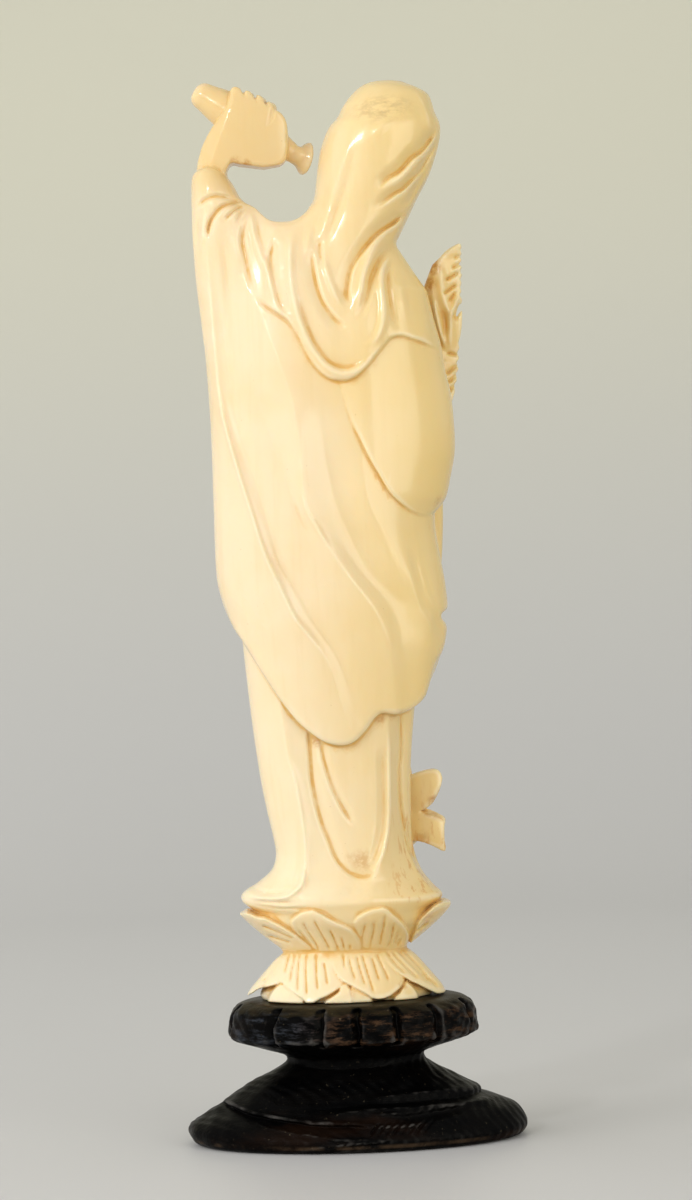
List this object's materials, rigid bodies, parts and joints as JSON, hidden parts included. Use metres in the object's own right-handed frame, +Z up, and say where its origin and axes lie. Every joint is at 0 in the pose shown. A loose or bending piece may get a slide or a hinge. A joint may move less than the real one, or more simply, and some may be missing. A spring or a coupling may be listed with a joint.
{
  "type": "carved ivory figure of a veiled woman on a wooden stand",
  "caption": "Carved ivory standing woman in veil and cloak, vase raised in one hand and a leafy spray in the other, on a lotus pedestal and an ebonised wooden stand.",
  "frame": {"origin": "middle of the stand's underside, on the surface it stands on", "axes": "+Z up; the figure faces -Y and its back is +Y; its left side, with the raised arm, is +X"},
  "size_m": [0.0684, 0.044, 0.2122],
  "materials": {
    "ivory": "polished warm cream ivory, amber stain in the carved grooves",
    "ebonised_wood": "near-black satin, worn to reddish brown on the edges"
  },
  "bodies": {
    "root": {"ivory_figure": "ivory", "wooden_stand": "ebonised_wood"}
  },
  "joints": []
}
